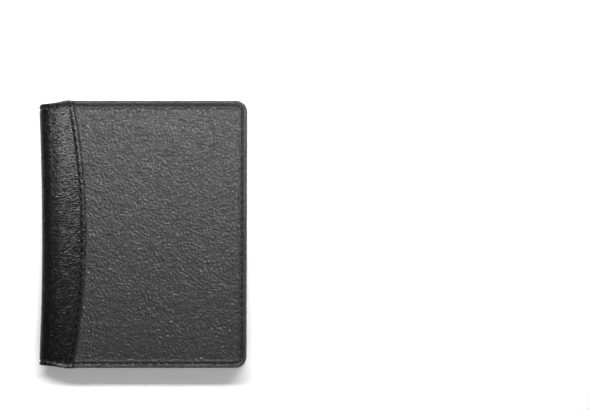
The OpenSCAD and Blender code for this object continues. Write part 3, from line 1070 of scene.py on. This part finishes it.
def wrinkles(flatX, y):
    # ridged noise, long along the spine: 1 on the furrows and 0 on the folds
    wander = 0.9 * softNoise(flatX * 0.2, y, 14.0, 0)
    first = np.abs(softNoise(flatX + wander, y * 0.09, 1.7, 1))
    second = np.abs(softNoise(flatX - wander, y * 0.2 + 9, 0.9, 0))
    return (1 - smooth(first / 0.55)) * 0.7 + (1 - smooth(second / 0.5)) * 0.3


def buildLining(half):
    # the lining runs from under the innermost pocket round to the middle of the spine,
    # where unrolled x keeps to the skin's length, so both halves meet line to line
    stop, mouth = lining["to"][half], mouths[half][0]
    flatCount = round((stop - bendX) / lining["step"])
    bendCount = round(bendLength * lining["bendShare"] / lining["step"])
    u = np.concatenate([np.linspace(stop, bendX, flatCount + 1),
                        bendX - bendLength * np.linspace(0, 1, bendCount + 1)[1:]])
    y = np.linspace(innerY, -innerY, round(2 * innerY / lining["stepY"]) + 1)
    u, y = np.meshgrid(u, y)
    flatX, flatY = flatOf(half, u, y)
    grainDepth, stand = grained(flatX, flatY, lining["grain"])
    furrow = wrinkles(flatX, flatY)
    free = smooth((mouth + 0.5 - u) / 1.5)
    shown = smooth((halfH - hemW + 0.6 - np.abs(y)) / 1.5)
    depth = lining["wrinkle"] * furrow * free * (0.35 + 0.65 * shown) + grainDepth * free
    patches = Patches()

    def put(h):
        x, z = bent(u, h)
        return placed(half, x, y, z)

    # painted shade: the lining is darker in the furrows of its wrinkles
    shownSide = patches.grid(*put(liningHigh - depth), flatX, flatY, stand * (1 - 0.5 * furrow))
    hidden = patches.grid(*put(liningLow + 0 * u), flatX, flatY)
    for cut in (np.s_[:, 0], np.s_[:, -1], np.s_[0], np.s_[-1]):
        patches.join(np.stack([shownSide[cut], hidden[cut]], 1))
    piece = patches.build(f"{half}_spine_lining", finishes["lining_leather"])
    attach(piece, half, [f"spine_lining_{half}", "spine_lining_middle"],
           liningLow)


for half in halves:
    buildLining(half)


core = {
    "spread": 38.0,                # degrees to each side of the middle
    "gap": 0.02,                   # to the skin and to the lining
}


def buildCore():
    # a strip of board bent round the middle of the spine
    turn = np.radians(np.linspace(-core["spread"], core["spread"], 25))[None, :]
    y = np.linspace(innerY, -innerY, 50)[:, None]
    patches = Patches()
    sides = []
    for h in (boardLow + core["gap"], boardHigh - core["gap"]):
        x = bendX - (bendR - h) * np.cos(turn) + 0 * y
        z = bendR + (bendR - rolled(x, h)) * np.sin(turn) + 0 * y
        movedX, movedY = settled(x, y + 0 * x)
        sides.append(patches.grid(movedX, movedY, z, bendR * turn + 0 * y, y + 0 * x))
    for cut in (np.s_[:, 0], np.s_[:, -1], np.s_[0], np.s_[-1]):
        patches.join(np.stack([sides[0][cut], sides[1][cut]], 1))
    piece = patches.build("spine_stiffener", finishes["stiffener_board"])
    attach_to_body(piece, "spine")
    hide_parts("spine_core")


buildCore()
print("spine lining and core built")


stitch = {
    "radius": 0.24,
    "outerDepth": 0.34,            # depth of the thread's middle on the outer faces
    "hemRise": 0.06,               # the thread's middle below the hem's face
    "seamDepth": 0.16,
    "slant": 0.12,                 # each stitch runs a little across the line
    "gap": 0.5,                    # left free at the holes
    "dive": 0.3,                   # how far its ends sink in
    "around": 8,
    "along": 7,
}


def addThreads(patches, ends, ups):
    # one thread per pair of hole points: a round tube whose radius shrinks to nothing at its
    # ends, which sink in with the fourth power of the way from its middle.
    # ends is (n, 2, 3) and ups the (n, 3) directions away from the leather
    middle, run = ends.mean(1), ends[:, 1] - ends[:, 0]
    length = np.linalg.norm(run, axis=1, keepdims=True)
    run = run / length
    side = np.cross(run, ups)
    side = side / np.linalg.norm(side, axis=1, keepdims=True)
    up = np.cross(side, run)
    part = np.sin(np.linspace(-90, 90, stitch["along"] + 2) * math.pi / 180)
    around = np.linspace(0, 2 * math.pi, stitch["around"] + 1)
    c, s = np.cos(around)[None, :, None], np.sin(around)[None, :, None]
    radius = stitch["radius"] * (1 - np.abs(part) ** 3) ** 0.5
    radius[0] = radius[-1] = 0
    for k in range(len(ends)):
        reach = (length[k, 0] - stitch["gap"]) / 2
        line = middle[k] + np.outer(part * reach, run[k])
        line = line + np.outer(part * stitch["slant"], side[k])
        line = line - np.outer(stitch["dive"] * part**4, up[k])
        points = line[:, None, :] + radius[:, None, None] * (c * up[k] + s * side[k])
        points[:, -1] = points[:, 0]
        flatX = (part * reach)[:, None] + 0 * around[None, :] + k * 7.31
        flatY = around[None, :] + 0 * part[:, None]
        patches.grid(points[..., 0], points[..., 1], points[..., 2], flatX, flatY)


def inPlace(half, x, y, h):
    return np.stack(placed(half, x, y, h), -1)


def pairs(points):
    return np.stack([points[:-1], points[1:]], 1)


def edgeStitches(half, outward):
    # round the border, on the cover's outer face and on its hem
    x, y, run, count = coverStitches()
    holes = np.linspace(0, run[-1], count + 1)
    x, y = np.interp(holes, run, x), np.interp(holes, run, y)
    patches = Patches()
    outer = pairs(inPlace(half, x, y, stitch["outerDepth"]))
    addThreads(patches, outer, np.tile(outward, (count, 1)))
    hemH = hemDepth(half, (x[:-1] + x[1:]) / 2) - stitch["hemRise"]
    inner = np.stack([inPlace(half, x[:-1], y[:-1], hemH), inPlace(half, x[1:], y[1:], hemH)], 1)
    addThreads(patches, inner, np.tile(-outward, (count, 1)))
    piece = patches.build(f"{half}_edge_stitches", finishes["thread"])
    attach(piece, half, [f"{half}_edge_stitching"])


def spineStitches(half, outward):
    # round the spine's ends, on the wrap and on its hem
    length = seamX(halfH) - (bendX - bendLength)
    count = round(length / holder["pitch"])
    u = seamX(halfH) - length * np.arange(count + 1) / count
    lean = np.clip((bendX - (u[:-1] + u[1:]) / 2) / bendR, 0, None)
    ups = np.stack([-np.sin(lean), 0 * lean, outward[2] * np.cos(lean)], 1)
    hemH = liningHigh + hemT - stitch["hemRise"]
    hemH = hemH + levelT * (u - mouths[half][0] + 0.6 > 0)
    patches = Patches()
    for end in (1, -1):
        y = end * (halfH - holder["stitchIn"]) + 0 * u
        for depth, away in ((stitch["outerDepth"] + 0 * u, ups), (hemH, -ups)):
            x, z = bent(u, depth)
            addThreads(patches, pairs(inPlace(half, x, y, z)), away)
    piece = patches.build(f"{half}_spine_stitches", finishes["thread"])
    attach(piece, half, ["spine_edge_stitching"], 0.0)


def seamStitches(half, outward):
    # along the wrap's curved edge
    y = np.linspace(-seamSpan, seamSpan, seamCount + 1)[1:-1]
    patches = Patches()
    rows = pairs(inPlace(half, seamX(y) - seam["stitchIn"], y, stitch["seamDepth"]))
    addThreads(patches, rows, np.tile(outward, (len(rows), 1)))
    piece = patches.build(f"{half}_seam_stitches", finishes["thread"])
    attach(piece, half, [f"{half}_seam_stitching"])


for half in halves:
    outward = np.array([0.0, 0.0, 1.0 if half == "front" else -1.0])
    edgeStitches(half, outward)
    spineStitches(half, outward)
    seamStitches(half, outward)
print("stitches built")


studio = {
    "viewWidth": 0.2214,           # width of the view at the holder's top face
    "aimX": 0.0574, "aimY": 0.0109,
    "distance": 1.4,
    "floor": 0.9,                  # how pale it is
    "floorSize": 3.0,
    "floorZ": -0.0001,             # just under the back cover's lowest pebbles
    "world": 0.06,
}
# place, aim, width and length, and power of each lamp
lamps = {
    "key": ((0.01, 0.08, 0.16), (0.01, 0.065, 0.0), (0.32, 0.035), 0.92),
    "side fill": ((0.52, -0.05, 0.38), (0.1, 0.0, 0.0), (0.4, 0.4), 0.6),
    "front fill": ((0.08, -0.62, 0.42), (0.06, -0.06, 0.0), (0.8, 0.3), 2.2),
    "low front light": ((0.02, -0.2, 0.1), (0.02, -0.06, 0.0), (0.3, 0.05), 0.06),
    "back light": ((0.05, 0.55, 0.34), (0.0, 0.05, 0.0), (0.7, 0.2), 0.45),
}


def buildFloor():
    mesh = bpy.data.meshes.new("floor")
    size, z = studio["floorSize"], studio["floorZ"]
    mesh.from_pydata([(-size, -size, z), (size, -size, z), (size, size, z), (-size, size, z)],
                     [], [(0, 1, 2, 3)])
    floor = bpy.data.objects.new("floor", mesh)
    bpy.context.scene.collection.objects.link(floor)
    finish, wire, surface = newFinish("pale floor")
    position = wire.node("ShaderNodeTexCoord", None, None, output=3)
    tint = position.noise(3.0, 2.0)
    colour = tint.mix(grey(studio["floor"] - 0.01), grey(studio["floor"] + 0.01))
    setSurface(wire, surface, {"Base Color": colour, "Roughness": 0.9,
                               "Specular IOR Level": 0.1})
    mesh.materials.append(finish)


def softbox(name, place, aim, size, power):
    light = bpy.data.lights.new(name, "AREA")
    light.shape, light.size, light.size_y, light.energy = "RECTANGLE", size[0], size[1], power
    lamp = bpy.data.objects.new(name, light)
    lamp.location = place
    lamp.rotation_mode = "QUATERNION"
    lamp.rotation_quaternion = (Vector(aim) - Vector(place)).to_track_quat("-Z", "Y")
    bpy.context.scene.collection.objects.link(lamp)


buildFloor()
for name, (place, aim, size, power) in lamps.items():
    softbox(name, place, aim, size, power)
world = bpy.data.worlds.new("studio")
world.use_nodes = True
background = world.node_tree.nodes["Background"]
background.inputs["Color"].default_value = (1, 1, 1, 1)
background.inputs["Strength"].default_value = studio["world"]
bpy.context.scene.world = world
bpy.context.scene.view_settings.view_transform = "Standard"

cameraData = bpy.data.cameras.new("camera")
cameraData.lens = cameraData.sensor_width * studio["distance"] / studio["viewWidth"]
cameraData.clip_start, cameraData.clip_end = 0.05, 10.0
camera = bpy.data.objects.new("camera", cameraData)
camera.location = (studio["aimX"], studio["aimY"], thick * mm + studio["distance"])
bpy.context.scene.collection.objects.link(camera)
bpy.context.scene.camera = camera
print("studio built")
